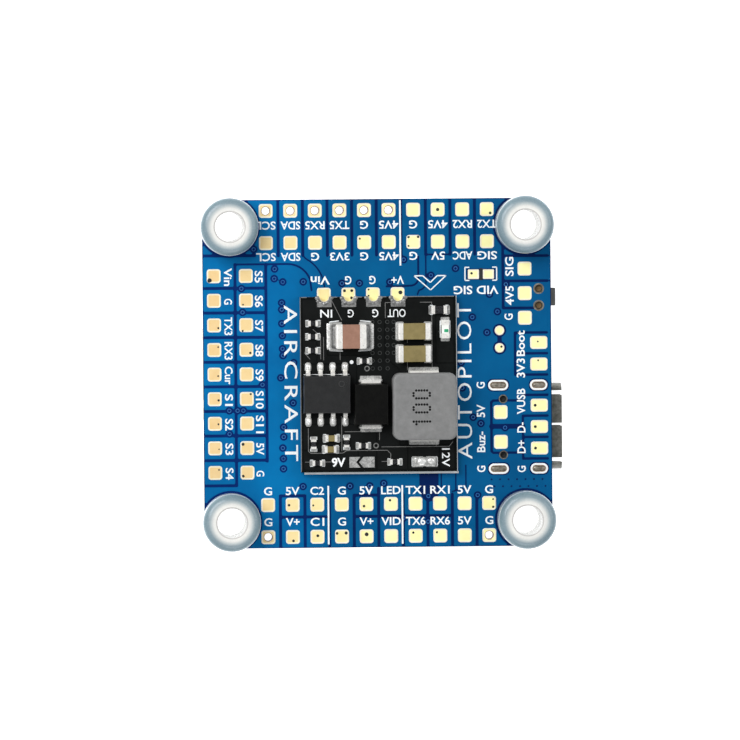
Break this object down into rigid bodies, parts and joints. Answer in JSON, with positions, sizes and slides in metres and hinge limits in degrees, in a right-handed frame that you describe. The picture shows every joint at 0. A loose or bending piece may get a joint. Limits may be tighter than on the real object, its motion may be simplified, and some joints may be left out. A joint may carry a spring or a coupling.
{
  "type": "flight controller board",
  "caption": "Square drone flight controller board with grommets at its corners, gold solder pads, a regulator board on top and USB-C, boot button and connectors below.",
  "frame": {"origin": "centre of the square of four mounting holes, on the plane of the grommets' lower faces", "axes": "+Z out of the board's regulator side, along the mounting screws; -Y is the flight direction shown by the printed arrow; +X towards the USB port"},
  "size_m": [0.0374, 0.0364, 0.0091],
  "materials": {
    "blue_laminate": "glass-fibre laminate under glossy blue solder mask",
    "gold_pads": "pale immersion gold over copper",
    "silicone": "translucent natural silicone",
    "black_laminate": "glass-fibre laminate under glossy black solder mask",
    "tinned_copper": "tinned copper",
    "moulded_powder": "pressed iron powder, satin grey",
    "chip_plastic": "moulded epoxy",
    "tinned_leads": "matt tin plate",
    "brown_ceramic": "fired capacitor ceramic",
    "tan_ceramic": "fired capacitor ceramic",
    "black_ceramic": "glazed resistor or package ceramic",
    "lamp_resin": "clear and white lamp resin",
    "solder": "bright solder",
    "sensor_laminate": "sensor substrate",
    "can_metal": "plated thin metal",
    "shell_steel": "nickel-plated stamped steel",
    "black_plastic": "glass-filled nylon",
    "gold_contacts": "gold-plated contact",
    "tan_plastic": "moulded switch base",
    "grey_plastic": "moulded plunger",
    "ivory_plastic": "moulded nylon"
  },
  "bodies": {
    "board": {"barometer_base": "sensor_laminate", "barometer_can": "can_metal", "button_base": "tan_plastic", "button_cover": "shell_steel", "button_dome": "can_metal", "button_terminals": "tinned_leads", "connector_anchor_tabs": "tinned_leads", "connector_contacts": "tinned_leads", "crystal_bases": "black_ceramic", "crystal_lids": "can_metal", "esc_connector_housing": "ivory_plastic", "five_volt_inductor_core": "moulded_powder", "five_volt_inductor_terminals": "tinned_copper", "flash_chip_body": "chip_plastic", "flash_chip_leads": "tinned_leads", "grommet_front_signal_side": "silicone", "grommet_front_usb_side": "silicone", "grommet_rear_signal_side": "silicone", "grommet_rear_usb_side": "silicone", "gyro_sensor": "chip_plastic", "input_capacitor_body": "brown_ceramic", "input_capacitor_ends": "tinned_leads", "main_board": "blue_laminate", "main_board_bottom_pads": "gold_pads", "main_board_top_pads": "gold_pads", "output_capacitor_bodies": "tan_ceramic", "output_capacitor_ends": "tinned_leads", "overlay_chip_body": "chip_plastic", "overlay_chip_leads": "tinned_leads", "plated_hole_barrels": "gold_pads", "processor_body": "chip_plastic", "processor_leads": "tinned_leads", "regulator_board": "black_laminate", "regulator_chip_body": "chip_plastic", "regulator_chip_leads": "tinned_leads", "regulator_diode_body": "chip_plastic", "regulator_diode_tabs": "tinned_leads", "regulator_edge_plating": "gold_pads", "regulator_inductor_core": "moulded_powder", "regulator_inductor_terminals": "tinned_copper", "regulator_jumper_solder": "solder", "regulator_lamp_body": "lamp_resin", "regulator_pads": "tinned_copper", "regulator_resistor_bodies": "black_ceramic", "regulator_small_capacitor_bodies": "tan_ceramic", "regulator_small_part_ends": "tinned_leads", "small_regulator_bodies": "chip_plastic", "small_regulator_leads": "tinned_leads", "status_lamp_bodies": "lamp_resin", "status_lamp_ends": "tinned_leads", "underside_capacitor_bodies": "tan_ceramic", "underside_capacitor_ends": "tinned_leads", "underside_resistor_bodies": "black_ceramic", "underside_resistor_ends": "tinned_leads", "usb_contacts": "gold_contacts", "usb_shell": "shell_steel", "usb_tongue": "black_plastic", "video_connector_housing": "ivory_plastic"},
    "boot_button": {"button_plunger": "grey_plastic"}
  },
  "joints": [
    {"name": "boot_button_press", "type": "slide", "parent": "board", "child": "boot_button", "axis": [-1, 0, 0], "range_m": [0, 0.0002], "stiffness_N_per_m": 5000, "deforming": ["button_dome"]}
  ]
}
